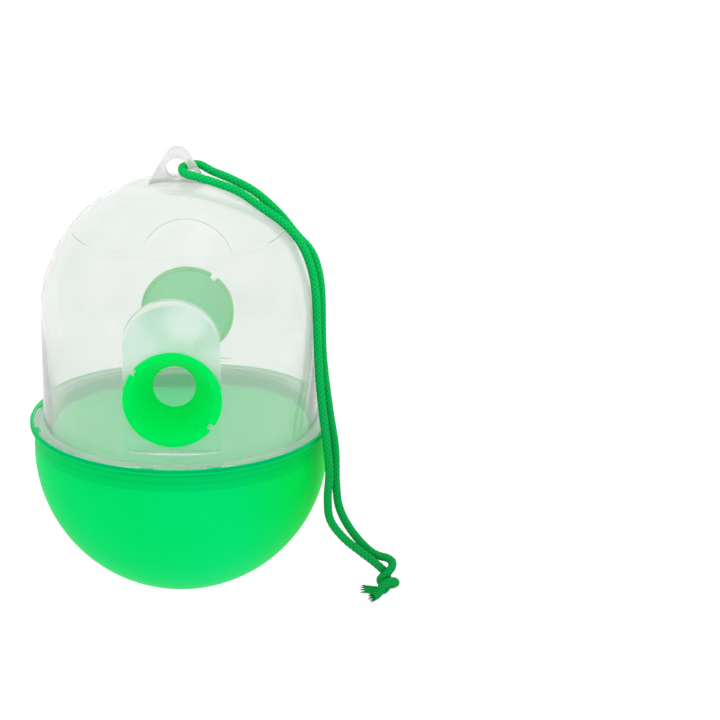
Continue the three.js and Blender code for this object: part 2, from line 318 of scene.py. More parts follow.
@dataclass(frozen=True)
class ClearPolypropylene:
    """Natural polypropylene, injection moulded. It lets light through with a milky haze.

    The haze grows where the moulding is thick, at the flange and in the lug.
    """

    name: str
    haze: tuple[Pair, ...]  # heights in mm, each with the share of light a surface scatters there
    roughness: float
    ior: float = 1.49
    tint: str = "#FEFFFE"
    milk: str = "#F5F2F3"
    cloud_mm: float = 24.0  # spacing of the flow clouds
    cloud: float = 0.16  # share by which they change the haze
    ripple_mm: float = 14.0  # spacing of the slow waves of a moulded wall
    ripple: float = 0.05

    def material(self) -> Material:
        """Builds the material: clear refraction under a thin scattering haze.

        Returns:
            The new material.
        """
        material, tree = new_material(self.name)
        where = add_node(tree, "TexCoord").outputs["Object"]
        waves = add_node(tree, "TexNoise", inputs={
            "Vector": where, "Scale": 1 / (self.ripple_mm * MM), "Detail": 1.0})
        bump = add_node(tree, "Bump", inputs={
            "Height": waves.outputs["Fac"], "Strength": self.ripple, "Distance": MM})
        clear = add_node(tree, "BsdfPrincipled", inputs={
            "Base Color": linear(self.tint), "Roughness": self.roughness, "IOR": self.ior,
            "Transmission Weight": 1.0, "Normal": bump.outputs["Normal"]})
        back = add_node(tree, "BsdfTranslucent", inputs={"Color": linear(self.milk)})
        front = add_node(tree, "BsdfDiffuse", inputs={"Color": linear(self.milk)})
        milk = add_node(tree, "MixShader", inputs={0: 0.5, 1: front.outputs[0], 2: back.outputs[0]})
        height = add_node(tree, "SeparateXYZ", inputs={"Vector": where}).outputs["Z"]
        haze = add_node(tree, "Value").outputs[0]
        haze.default_value = self.haze[0][1]
        for (low, before), (high, after) in zip(self.haze, self.haze[1:]):
            if before == after:
                continue
            change = add_node(tree, "MapRange", inputs={
                "Value": height, "From Min": low * MM, "From Max": high * MM,
                "To Min": 0.0, "To Max": after - before})
            haze = add_node(tree, "Math", {"operation": "ADD"}, {0: haze, 1: change.outputs[0]}).outputs[0]
        clouds = add_node(tree, "TexNoise", inputs={
            "Vector": where, "Scale": 1 / (self.cloud_mm * MM), "Detail": 2.0})
        swing = add_node(tree, "MapRange", inputs={
            "Value": clouds.outputs["Fac"], "From Min": NOISE_SPAN[0], "From Max": NOISE_SPAN[1],
            "To Min": 1 - self.cloud, "To Max": 1 + self.cloud})
        clouded = add_node(tree, "Math", {"operation": "MULTIPLY"}, {0: haze, 1: swing.outputs[0]})
        both = add_node(tree, "MixShader", inputs={
            0: clouded.outputs[0], 1: clear.outputs[0], 2: milk.outputs[0]})
        add_node(tree, "OutputMaterial", inputs={"Surface": both.outputs[0]})
        return material


@dataclass(frozen=True)
class GreenPolypropylene:
    """Dyed polypropylene, injection moulded. Its thin walls glow with the light behind them."""

    name: str
    deep: str
    bright: str
    roughness: float = 0.3
    ior: float = 1.22  # matched to the object, below polypropylene's own 1.49
    gloss: float = 0.07  # strength of the skin's reflection
    glow: float = 0.45  # share of light that passes each surface
    cloud_mm: float = 60.0  # spacing of the slow changes of shade
    grain_mm: float = 0.9  # spark-eroded tool grain, drawn a little coarse so that it shows
    grain_depth_mm: float = 0.2
    grain_strength: float = 0.03

    def shade(self, tree: Tree, where: Socket) -> Socket:
        """The dye's colour, which drifts slowly between two shades.

        Args:
            tree: The material's node tree.
            where: Object coordinates.

        Returns:
            The socket that gives the colour.
        """
        clouds = add_node(tree, "TexNoise", inputs={
            "Vector": where, "Scale": 1 / (self.cloud_mm * MM), "Detail": 1.0})
        return add_node(tree, "Mix", {"data_type": "RGBA"}, {
            "Factor": clouds.outputs["Fac"], 6: linear(self.deep), 7: linear(self.bright)}).outputs[2]

    def material(self) -> Material:
        """Builds the material: satin skin over a translucent dyed body.

        Returns:
            The new material.
        """
        material, tree = new_material(self.name)
        where = add_node(tree, "TexCoord").outputs["Object"]
        shade = self.shade(tree, where)
        grain = add_node(tree, "TexNoise", inputs={
            "Vector": where, "Scale": 1 / (self.grain_mm * MM), "Detail": 2.0})
        bump = add_node(tree, "Bump", inputs={
            "Height": grain.outputs["Fac"], "Strength": self.grain_strength,
            "Distance": self.grain_depth_mm * MM})
        skin = add_node(tree, "BsdfPrincipled", inputs={
            "Base Color": shade, "Roughness": self.roughness, "IOR": self.ior,
            "Specular IOR Level": self.gloss, "Normal": bump.outputs["Normal"]})
        through = add_node(tree, "BsdfTranslucent", inputs={"Color": shade})
        both = add_node(tree, "MixShader", inputs={0: self.glow, 1: skin.outputs[0], 2: through.outputs[0]})
        add_node(tree, "OutputMaterial", inputs={"Surface": both.outputs[0]})
        return material


@dataclass(frozen=True)
class GreenBowlPolypropylene(GreenPolypropylene):
    """The bowl's dyed polypropylene.

    Its solid lip is a deeper teal. Painted shade makes the right side a deeper, darker green, and
    lays darker bands: a painted shadow of the dome's skirt behind the wall, finer bands under the lip, and
    painted shade at the foot.
    """

    lip: str = "#00C684"
    # painted shade: the right side is this deeper, darker green
    shaded_side: str = "#00E63C"
    # painted shadow and shade: the bands behind the skirt, under the lip and at the foot are this darker
    # green
    shade_band: str = "#00C868"
    side_shade_mm: Pair = (18.0, 52.0)  # painted shade on the right side: it starts and is full at these X
    side_shade: float = 0.75
    lip_r_mm: Pair = (54.6, 54.9)  # the lip's shade starts and is full at these radii
    lip_foot_mm: float = 58.8
    shade_bands: tuple[Triple, ...] = (  # painted shade: the skirt's shadow, under the lip and at the foot; lowest and highest mm, and strength
        (52.4, 58.6, 0.28), (51.5, 52.3, 0.3), (54.2, 55.0, 0.25), (57.0, 58.4, 0.3), (0.0, 1.2, 0.7))
    edge_mm: float = 0.4  # half the width of a band's soft edge

    def shade(self, tree: Tree, where: Socket) -> Socket:
        """The dye's colour with the painted side shade, the painted shade bands and the lip laid over it.

        Args:
            tree: The material's node tree.
            where: Object coordinates.

        Returns:
            The socket that gives the colour.
        """
        shade = super().shade(tree, where)
        axes = add_node(tree, "SeparateXYZ", inputs={"Vector": where})
        flat = add_node(tree, "CombineXYZ", inputs={"X": axes.outputs["X"], "Y": axes.outputs["Y"]})
        radius = add_node(tree, "VectorMath", {"operation": "LENGTH"}, {0: flat.outputs[0]})
        height = axes.outputs["Z"]
        edge = self.edge_mm
        # Each layer's share is the product of its ramps: value, start, end and full height
        # The side layer and the band layers are painted shade; the lip layer is the thick section's deeper
        # teal
        layers = [(self.shaded_side, [(axes.outputs["X"], *self.side_shade_mm, self.side_shade)])]
        for low, high, strength in self.shade_bands:
            layers.append((self.shade_band, [
                (height, low - edge, low + edge, strength), (height, high + edge, high - edge, 1.0)]))
        layers.append((self.lip, [
            (radius.outputs["Value"], *self.lip_r_mm, 1.0),
            (height, self.lip_foot_mm, self.lip_foot_mm + edge, 1.0)]))
        for colour, ramps in layers:
            shares = [add_node(tree, "MapRange", {"interpolation_type": "SMOOTHSTEP"}, {
                "Value": value, "From Min": start * MM, "From Max": end * MM,
                "To Min": 0.0, "To Max": full}).outputs[0] for value, start, end, full in ramps]
            share = shares[0]
            if len(shares) > 1:
                share = add_node(tree, "Math", {"operation": "MULTIPLY"}, {0: share, 1: shares[1]}).outputs[0]
            shade = add_node(tree, "Mix", {"data_type": "RGBA"}, {
                "Factor": share, 6: shade, 7: linear(colour)}).outputs[2]
        return shade


# The faces inside the trap are paler, which stands in for daylight that comes through the walls. The
# cones, which are also seen from outside when a funnel is pulled, are a fuller green than the bowl.
LIT_BOWL = GreenPolypropylene("moulded_polypropylene_green_lit_bowl", "#D4FFEE", "#DCFFF4", 0.35, glow=0.25)
LIT_CONE = GreenPolypropylene("moulded_polypropylene_green_lit_cone", "#94F8C4", "#A0FCCC", 0.35, glow=0.35)


@dataclass(frozen=True)
class BraidedPolypropylene:
    """Round braided cord of dyed polypropylene yarn: matt, with painted shade in the valleys between its
    yarns.
    """

    name: str
    crest_low: str = "#069C46"  # near the floor, where less light reaches it
    crest_high: str = "#02C860"
    # painted shade in the valleys between the yarns
    valley_shade: str = "#00642E"
    low_mm: float = 10.0
    high_mm: float = 130.0
    fibre_mm: float = 0.12  # a yarn's filaments, drawn coarse so that they show
    fibre_depth_mm: float = 0.1
    fibre_strength: float = 0.5
    roughness: float = 0.7
    gloss: float = 0.06  # strength of the yarn's reflection

    def material(self) -> Material:
        """Builds the material: painted shade makes the valleys darker than the yarn crests, and the crests
        darker near the floor, with filaments along them.

        Returns:
            The new material.
        """
        material, tree = new_material(self.name)
        relief = add_node(tree, "Attribute", {"attribute_name": "relief"})
        where = add_node(tree, "TexCoord").outputs["Object"]
        fibres = add_node(tree, "TexNoise", inputs={
            "Vector": where, "Scale": 1 / (self.fibre_mm * MM), "Detail": 2.0})
        axes = add_node(tree, "SeparateXYZ", inputs={"Vector": where})
        # Painted shade: the crests darken towards the floor
        rise = add_node(tree, "MapRange", inputs={
            "Value": axes.outputs["Z"], "From Min": self.low_mm * MM, "From Max": self.high_mm * MM})
        crest = add_node(tree, "Mix", {"data_type": "RGBA"}, {
            "Factor": rise.outputs[0], 6: linear(self.crest_low), 7: linear(self.crest_high)})
        # Painted shade: the valleys between the yarns are darker than the crests
        shade = add_node(tree, "Mix", {"data_type": "RGBA"}, {
            "Factor": relief.outputs["Fac"], 6: linear(self.valley_shade), 7: crest.outputs[2]})
        bump = add_node(tree, "Bump", inputs={
            "Height": fibres.outputs["Fac"], "Strength": self.fibre_strength,
            "Distance": self.fibre_depth_mm * MM})
        yarn = add_node(tree, "BsdfPrincipled", inputs={
            "Base Color": shade.outputs[2], "Roughness": self.roughness, "Specular IOR Level": self.gloss,
            "Normal": bump.outputs["Normal"]})
        add_node(tree, "OutputMaterial", inputs={"Surface": yarn.outputs[0]})
        return material


@dataclass(frozen=True)
class LitAcrylic:
    """A white acrylic table lit from below: flat and bright."""

    name: str = "lit_white_acrylic"
    sheet: str = "#666666"  # grey, because most of its light is its own
    lift: float = 0.95  # light of its own

    def material(self) -> Material:
        """Builds the material.

        Returns:
            The new material.
        """
        material, tree = new_material(self.name)
        sheet = add_node(tree, "BsdfPrincipled", inputs={
            "Base Color": linear(self.sheet), "Roughness": 0.9, "Specular IOR Level": 0.1,
            "Emission Color": linear("#FFFFFF"), "Emission Strength": self.lift})
        add_node(tree, "OutputMaterial", inputs={"Surface": sheet.outputs[0]})
        return material


# ---- Studio ----


@dataclass
class Studio:
    """The camera, the white surround and the floor."""

    camera_at: Vector = field(default_factory=lambda: Vector((89.2, -1379.5, 585.9)) * MM)
    looking: Vector = field(default_factory=lambda: Vector((-0.0163, 0.9392, -0.3430)))
    lens_mm: float = 202.5
    surround_front: float = 0.9
    surround_back: float = 1.15
    overhead: float = 0.35  # extra light from straight above
    overhead_zone: Pair = (0.2, 0.9)  # slopes between which it fades in
    floor_size: float = 6.0

    def place_camera(self) -> None:
        """Puts a long lens a little above the trap, with the trap left of the middle."""
        data = bpy.data.cameras.new("camera")
        data.lens = self.lens_mm
        data.sensor_width = 36.0
        data.clip_end = 50.0
        camera = bpy.data.objects.new("camera", data)
        bpy.context.scene.collection.objects.link(camera)
        camera.location = self.camera_at
        camera.rotation_euler = self.looking.to_track_quat("-Z", "Y").to_euler()
        bpy.context.scene.camera = camera

    def light(self) -> None:
        """Surrounds the trap with even white light that is brighter overhead."""
        scene = bpy.context.scene
        world = bpy.data.worlds.new("white_surround")
        world.use_nodes = True
        world.node_tree.nodes.clear()
        tree = world.node_tree
        towards = add_node(tree, "TexCoord").outputs["Generated"]
        axes = add_node(tree, "SeparateXYZ", inputs={"Vector": towards})
        level = add_node(tree, "MapRange", inputs={
            "Value": axes.outputs["Y"], "From Min": -1.0, "From Max": 1.0,
            "To Min": self.surround_front, "To Max": self.surround_back})
        above = add_node(tree, "MapRange", {"interpolation_type": "SMOOTHSTEP"}, {
            "Value": axes.outputs["Z"], "From Min": self.overhead_zone[0],
            "From Max": self.overhead_zone[1], "To Min": 0.0, "To Max": self.overhead})
        strength = add_node(tree, "Math", {"operation": "ADD"}, {0: level.outputs[0], 1: above.outputs[0]})
        glow = add_node(tree, "Background", inputs={"Color": (1, 1, 1, 1), "Strength": strength.outputs[0]})
        add_node(tree, "OutputWorld", inputs={"Surface": glow.outputs[0]})
        scene.world = world
        scene.view_settings.view_transform = "Standard"
        scene.cycles.max_bounces = 24
        scene.cycles.transmission_bounces = 20
        scene.cycles.diffuse_bounces = 8
        scene.cycles.use_denoising = True

    def lay_floor(self) -> None:
        """Lays a white floor under the trap."""
        shape = bmesh.new()
        bmesh.ops.create_grid(shape, x_segments=2, y_segments=2, size=self.floor_size / 2)
        floor = finish_object(shape, "floor", [LitAcrylic().material()])


# ---- Cord and knot ----

# The cord's route from the knot over the dome, through the lug and back to the knot, in mm
CORD_ROUTE = [
    (73.9, -22.4, 9.3), (71.0, -22.9, 12.2), (66.0, -23.6, 16.6), (59.6, -24.0, 22.4), (54.9, -24.2, 29.4),
    (54.0, -23.8, 37.0), (54.6, -23.0, 47.0), (53.9, -23.0, 56.5), (52.6, -21.2, 66.5), (51.0, -16.0, 80.0),
    (50.2, -13.4, 97.0), (49.6, -11.6, 111.5), (47.8, -8.0, 120.5), (44.2, -5.6, 128.4),
    (38.4, -6.0, 135.7), (30.6, -7.6, 142.3), (22.0, -8.2, 148.6), (13.4, -8.0, 152.0), (7.4, -7.0, 153.5),
    (3.6, -5.1, 154.0), (2.0, -2.5, 154.3), (1.8, 0.0, 154.4), (2.0, 2.5, 154.3), (3.6, 5.1, 154.1),
    (7.4, 6.8, 153.9), (12.2, 5.0, 152.0), (18.8, 2.6, 150.0), (27.4, 0.6, 145.9), (36.3, -1.0, 138.3),
    (42.4, -2.0, 130.8), (48.0, -3.2, 124.4), (51.0, -6.2, 115.6), (52.1, -9.8, 87.0), (54.4, -14.8, 69.0),
    (56.6, -17.8, 54.6), (56.9, -18.5, 42.0), (58.2, -19.2, 31.8), (63.4, -19.5, 21.9), (70.6, -19.2, 14.2),
    (76.0, -20.4, 12.8),
]
CORD_D = 0.0028


def smooth_path(points: Sequence[Sequence[float]], per_span: int) -> list[Vector]:
    """Draws a centripetal Catmull-Rom curve in metres.

    Args:
        points: The points that it passes through, in millimetres.
        per_span: Steps from each point to the next.

    Returns:
        Points along the curve.
    """
    given = [Vector([c * MM for c in point]) for point in points]
    given = [2 * given[0] - given[1], *given, 2 * given[-1] - given[-2]]
    path = []
    for a, b, c, d in zip(given, given[1:], given[2:], given[3:]):
        t1 = max((b - a).length ** 0.5, MERGE)
        t2 = t1 + max((c - b).length ** 0.5, MERGE)
        t3 = t2 + max((d - c).length ** 0.5, MERGE)
        for k in range(per_span):
            t = t1 + (t2 - t1) * k / per_span
            ab = a.lerp(b, t / t1)
            bc = b.lerp(c, (t - t1) / (t2 - t1))
            cd = c.lerp(d, (t - t2) / (t3 - t2))
            abc = ab.lerp(bc, t / t2)
            bcd = bc.lerp(cd, (t - t1) / (t3 - t1))
            path.append(abc.lerp(bcd, (t - t1) / (t2 - t1)))
    path.append(given[-2])
    return path


def even_path(points: Sequence[Vector], step: float) -> list[Vector]:
    """Moves along a line in even steps.

    Args:
        points: The line's points.
        step: The step's length, in metres, rounded so that the steps fill the line.

    Returns:
        The evenly spaced points.
    """
    lengths = [0.0]
    for a, b in zip(points, points[1:]):
        lengths.append(lengths[-1] + (b - a).length)
    count = max(2, round(lengths[-1] / step))
    path, k = [], 0
    for i in range(count + 1):
        target = lengths[-1] * i / count
        while k < len(lengths) - 2 and lengths[k + 1] < target:
            k += 1
        share = (target - lengths[k]) / (lengths[k + 1] - lengths[k])
        path.append(points[k].lerp(points[k + 1], share))
    return path


def path_length(points: Sequence[Vector]) -> float:
    """The length of a line through points."""
    return sum((b - a).length for a, b in zip(points, points[1:]))


@dataclass
class Braid:
    """A round braid: two families of yarns that wind opposite ways and pass over and under."""

    diameter: float = CORD_D
    yarns: int = 5  # in each family
    pitch: float = 0.0090  # length of one full turn of a yarn
    relief: float = 0.0003
    datum: float = 0.6  # the relief that lies on the nominal diameter
    yarn_round: float = 0.7  # below 1 makes the yarns flatter on top
    crossing: float = 3.0  # how sharply one yarn gives way to the other
    around: int = 40
    step: float = 0.00026

    def height(self, along: float, angle: float) -> float:
        """How far the surface stands out, from 0 in a valley to 1 on a crest.

        Args:
            along: Distance along the cord.
            angle: Angle round it.

        Returns:
            The relief.
        """
        turn = math.tau * along / self.pitch
        one = self.yarns * (angle + turn) / 2
        other = self.yarns * (angle - turn) / 2
        over = math.sin(one + other) * math.sin(one - other)
        first = abs(math.cos(one)) ** self.yarn_round
        second = abs(math.cos(other)) ** self.yarn_round
        share = 0.5 + 0.5 * math.tanh(self.crossing * over)
        return min(1.0, first * (1 - share) + second * share)

    def sweep(self, path: Sequence[Vector], name: str, finish: Material) -> Object:
        """Lays the braid along a path.

        Args:
            path: The centreline.
            name: The object's name.
            finish: Its material.

        Returns:
            The cord's object.
        """
        line = even_path(path, self.step)
        frames = self.frames(line)
        shape = bmesh.new()
        bmesh.ops.create_grid(shape, x_segments=len(line) - 1, y_segments=self.around, size=1.0)
        tone = shape.verts.layers.float.new("relief")
        length = path_length(line)
        for vert in shape.verts:
            share = (vert.co.x + 1) / 2
            angle = (vert.co.y + 1) * math.pi
            k = round(share * (len(line) - 1))
            rise = self.height(share * length, angle)
            vert[tone] = rise
            across, up = frames[k]
            radius = self.diameter / 2 - self.relief * (self.datum - rise)
            vert.co = line[k] + (across * math.cos(angle) + up * math.sin(angle)) * radius
        bmesh.ops.remove_doubles(shape, verts=shape.verts[:], dist=MERGE)
        rims = [e for e in shape.edges if e.is_boundary]
        bmesh.ops.holes_fill(shape, edges=rims, sides=0)
        bmesh.ops.recalc_face_normals(shape, faces=shape.faces[:])
        return finish_object(shape, name, [finish], sharp_deg=80)

    @staticmethod
    def frames(line: Sequence[Vector]) -> list[tuple[Vector, Vector]]:
        """Two directions across the line at each point, carried along without twist.

        Args:
            line: The centreline.

        Returns:
            A pair of unit vectors for each point.
        """
        frames = []
        across = Vector((0, 1, 0))
        for i in range(len(line)):
            ahead = (line[min(i + 1, len(line) - 1)] - line[max(i - 1, 0)]).normalized()
            across = (across - ahead * across.dot(ahead)).normalized()
            frames.append((across.copy(), ahead.cross(across)))
        return frames


@dataclass
class HangingCord:
    """The braided cord that is looped through the lug, and the knot that ends it."""

    braid: Braid = field(default_factory=Braid)
    core: list[Triple] = field(default_factory=lambda: [
        (73.9, -22.4, 9.3), (75.1, -22.3, 7.4), (75.8, -23.7, 5.7), (75.6, -25.2, 4.2),
        (74.7, -25.7, 2.8), (72.6, -24.9, 2.0), (70.1, -23.7, 1.7), (67.9, -22.8, 1.6)])
    wrap: list[Triple] = field(default_factory=lambda: [
        (76.0, -20.4, 12.8), (77.3, -21.5, 11.9), (77.2, -23.1, 10.5), (75.6, -24.8, 8.9),
        (73.5, -24.7, 7.0), (73.2, -23.1, 4.9), (74.6, -21.8, 3.3), (76.9, -21.9, 3.1),
        (78.5, -23.6, 4.4), (78.1, -25.7, 6.0), (76.0, -27.2, 6.5), (73.9, -27.7, 5.1),
        (73.0, -28.2, 3.2), (71.9, -28.9, 2.0), (70.6, -29.9, 1.6)])
    filaments: int = 26  # loose filaments drawn at each frayed end
    filament_r: Pair = (0.26, 0.07)  # root and tip, in mm
    root_depth: float = 1.2  # how far inside the cut end a filament starts, in mm
    root_offset: Pair = (0.2, 1.0)
    tip_reach: Pair = (0.8, 2.2)
    tip_offset: Pair = (0.9, 1.9)
    floor_gap: float = 0.2
    fray_tone: float = 0.6  # shade of the filaments, from 0 in a valley to 1 on a crest
    seed: int = 7

    def build(self) -> None:
        finish = BraidedPolypropylene("braided_polypropylene_green").material()
        path = smooth_path(CORD_ROUTE, 8)
        cord = self.braid.sweep(path, "braided_cord", finish)
        knot = self.tie_knot(finish)
        for piece in (cord, knot):
            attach(piece, "dome")
        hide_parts("hanging_cord")
        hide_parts("cord_knot")

    def tie_knot(self, finish: Material) -> Object:
        """Ties one end round the other and leaves two short tails.

        Args:
            finish: The cord's material.

        Returns:
            The knot's object.
        """
        joined = bmesh.new()
        for name, points in (("core", self.core), ("wrap", self.wrap)):
            path = smooth_path(points, 10)
            strand = self.braid.sweep(path, name, finish)
            joined.from_mesh(strand.data)
            bpy.data.objects.remove(strand)
            self.fray(joined, path[-1], (path[-1] - path[-6]).normalized())
        return finish_object(joined, "overhand_knot", [finish], sharp_deg=80)

    def fray(self, shape: Mesh, tip: Vector, ahead: Vector) -> None:
        """Spreads loose filaments from a cut end.

        Args:
            shape: The knot's mesh, which gets them.
            tip: The middle of the cut end.
            ahead: The strand's direction there.
        """
        draw = random.Random(self.seed)
        tone = shape.verts.layers.float["relief"]
        across = ahead.cross(Vector((0, 0, 1))).normalized()
        up = across.cross(ahead)
        for k in range(self.filaments):
            angle = math.tau * k / self.filaments + draw.uniform(-0.3, 0.3)
            side = across * math.cos(angle) + up * math.sin(angle)
            start = tip - ahead * (self.root_depth * MM) + side * (draw.uniform(*self.root_offset) * MM)
            end = tip + ahead * (draw.uniform(*self.tip_reach) * MM)
            end += side * (draw.uniform(*self.tip_offset) * MM)
            end.z = max(end.z, self.floor_gap * MM)
            root_r, tip_r = self.filament_r
            filament = bmesh.ops.create_cone(shape, cap_ends=True, segments=5, radius1=root_r * MM,
                                             radius2=tip_r * MM, depth=(end - start).length)
            turn = (end - start).to_track_quat("Z", "Y").to_matrix().to_4x4()
            place = Matrix.Translation((start + end) / 2) @ turn
            bmesh.ops.transform(shape, verts=filament["verts"], matrix=place)
            for vert in filament["verts"]:
                vert[tone] = self.fray_tone


# ---- Bowl ----


@dataclass
class Seat:
    """Where the dome sits in the bowl: a ledge with locating keys, and the notches over them."""

    pairs: int = 4
    offset_deg: float = 3.0
    spread_deg: float = 13.0
    key_width: float = 4.7
    key_height: float = 1.2
    key_inner_r: float = 52.6
    ledge_z: float = 58.6
    bore_r: float = 53.8
    gap: float = 0.3

    def angles(self) -> list[float]:
        """The keys' angles about the axis, in degrees."""
        turns = [i * 360 / self.pairs for i in range(self.pairs)]
        return [-90 + t + self.offset_deg + side * self.spread_deg for t in turns for side in (-1, 1)]


@dataclass
class BaitBowl:
    """The green bowl: a sphere on a flat foot, with an upright collar and a thin lip."""

    seat: Seat
    radius: float = 53.5
    centre_z: float = 49.5
    wall: float = 1.3
    top_z: float = 60.1
    lip_r: float = 55.0
    lip_height: float = 2.0
    foot_ring_r: float = 18.0
    foot_recess: float = 0.8
    around: int = 192
    near: Pair = (0.1, 0.15)  # how close a face is to the ledge, and to the lip's bore, to lie on it

    def profile(self) -> list[Pair]:
        """The bowl's section, from the axis under the foot round to the axis inside.

        Returns:
            Points (radius, height) in millimetres.
        """
        inner = self.radius - self.wall
        floor_z = self.foot_recess + self.wall
        start = math.degrees(math.asin(-self.centre_z / self.radius))
        end = math.degrees(math.asin((floor_z - self.centre_z) / inner))
        foot = rounded([
            (0, self.foot_recess), (self.foot_ring_r, self.foot_recess, 0.4),
            (self.foot_ring_r + 0.5, 0, 0.3), (self.radius * math.cos(math.radians(start)), 0)])
        outside = arc((0, self.centre_z), (self.radius, self.radius), start, 0, 48)
        rim = rounded([
            (self.radius, self.centre_z), (self.radius, self.top_z - self.lip_height, 0.5),
            (self.lip_r, self.top_z - self.lip_height, 0.4), (self.lip_r, self.top_z, 0.5),
            (self.seat.bore_r, self.top_z, 0.3), (self.seat.bore_r, self.seat.ledge_z, 0.2),
            (inner, self.seat.ledge_z, 0.3), (inner, self.centre_z)])
        inside = arc((0, self.centre_z), (inner, inner), 0, end, 44)
        return foot + outside[1:-1] + rim + inside[1:] + [(0, floor_z)]

    def is_inside(self, point: Vector) -> bool:
        """Finds whether a point lies on the bowl's inner surface or inside its lip.

        Args:
            point: A point of the bowl's surface, in millimetres.

        Returns:
            True if it does.
        """
        reach = Vector((point.x, point.y, min(point.z - self.centre_z, 0.0))).length
        near_ledge, near_bore = self.near
        if point.z > self.seat.ledge_z + near_ledge:
            return abs(reach - self.seat.bore_r) < near_bore
        if point.z > self.seat.ledge_z - near_ledge:
            return reach < self.seat.bore_r + near_ledge
        return reach < self.radius - self.wall / 2 and point.z > self.foot_recess + self.wall / 2

    def build(self) -> None:
        """Makes the bowl with its keys and dresses it."""
        shape = spun(self.profile(), self.around)
        seat = self.seat
        outer_r = seat.bore_r + seat.gap
        key_size = (outer_r - seat.key_inner_r, seat.key_width, seat.key_height + seat.gap)
        for angle in seat.angles():
            key = slab(((seat.key_inner_r + outer_r) / 2, 0, seat.ledge_z + (seat.key_height - seat.gap) / 2),
                       key_size, angle)
            shape = combine(shape, key, Join.ADD)
        for face in shape.faces:
            face.material_index = int(self.is_inside(face.calc_center_median() / MM))
        outside = GreenBowlPolypropylene("moulded_polypropylene_green_bowl", "#00E868", "#00EE9A")
        bowl = finish_object(shape, "moulded_bowl", [outside.material(), LIT_BOWL.material()])
        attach(bowl, "bowl")
        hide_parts("bait_bowl")
        LOG.info("bowl: %d faces", len(bowl.data.polygons))


# ---- Dome ----


@dataclass
class PortPad:
    """An upright flat with an arched top, let into the dome's wall round a port."""

    plane_y: float = 46.9
    half_width: float = 17.4
    bottom_z: float = 65.0
    arch_z: float = 104.0
    port_z: float = 84.0
    port_r: float = 16.4

    def outline(self, margin: float = 0.0) -> list[Pair]:
        """The pad's outline in the XZ plane.

        Args:
            margin: How far it is grown outwards.

        Returns:
            Points (x, z) in millimetres.
        """
        half = self.half_width + margin
        top = arc((0, self.arch_z), (half, half), 180, 0, 48)
        return [(-half, self.bottom_z - margin), *top, (half, self.bottom_z - margin)]

    def holds(self, x: float, z: float) -> bool:
        """Finds whether a point of the XZ plane lies on the pad.

        Args:
            x: The point's X in millimetres.
            z: Its height.

        Returns:
            True if it does.
        """
        if z > self.arch_z:
            return math.hypot(x, z - self.arch_z) < self.half_width
        return abs(x) < self.half_width + 0.05 and z > self.bottom_z


@dataclass
class Lug:
    """The hanging lug: a plate with a rounded top that thickens towards the crown."""

    half_base: float = 11.6
    base_z: float = 147.5
    top_z: float = 162.3
    half_top: float = 1.9
    corner: Pair = (4.1, 160.2)
    thick_base: float = 5.6
    thick_top: float = 3.6
    flare: float = 0.8  # extra thickness where the plate blends into the crown
    flare_from: float = 0.12  # share of the height at which the flare starts to fade
    flare_fade: float = 6.5  # how fast it fades
    foot: Triple = (1.4, 1.9, 4.0)  # how far in, how far up, and its rounding
    slice_height: float = 0.5
    slices: int = 11  # cuts that let the plate's faces curve
    edge: float = 0.45
    edge_from: float = 1.0  # height above the base where the rounded edge starts
    hole_r: float = 4.0
    hole_z: float = 154.8
    hole_depth: float = 30.0

    def build(self) -> Mesh:
        """Makes the plate with its hole.

        Returns:
            A closed solid in metres.
        """
        foot_in, foot_up, foot_round = self.foot
        right = [
            (self.half_base, self.base_z), (self.half_base - foot_in, self.base_z + foot_up, foot_round),
            (self.corner[0] - 0.3, self.corner[1] + 0.2, 2.2), (self.half_top, self.top_z, 1.0)]
        left = [(-x, *rest) for x, *rest in right]
        shape = prism(rounded(left + right[::-1], 6), -0.5, 0.5)
        for k in range(self.slices):
            level = self.base_z + self.slice_height * (k + 1)
            everything = shape.verts[:] + shape.edges[:] + shape.faces[:]
            bmesh.ops.bisect_plane(shape, geom=everything, plane_co=(0, 0, level * MM), plane_no=(0, 0, 1))
        shape = combine(shape, drill(self.hole_r, self.hole_z, self.hole_depth, 48), Join.CUT)
        for vert in shape.verts:
            rise = (vert.co.z / MM - self.base_z) / (self.top_z - self.base_z)
            thick = self.thick_base + (self.thick_top - self.thick_base) * rise
            vert.co.y *= thick + self.flare * math.exp(-self.flare_fade * max(rise - self.flare_from, 0.0))
        rims = [e for e in shape.edges if e.is_manifold and e.calc_face_angle(0) > math.radians(60)]
        rims = [e for e in rims if min(v.co.z for v in e.verts) > (self.base_z + self.edge_from) * MM]
        bmesh.ops.bevel(shape, geom=rims, offset=self.edge * MM, segments=BEVEL_STEPS, profile=0.5,
                        affect="EDGES", material=-1, clamp_overlap=True)
        return shape


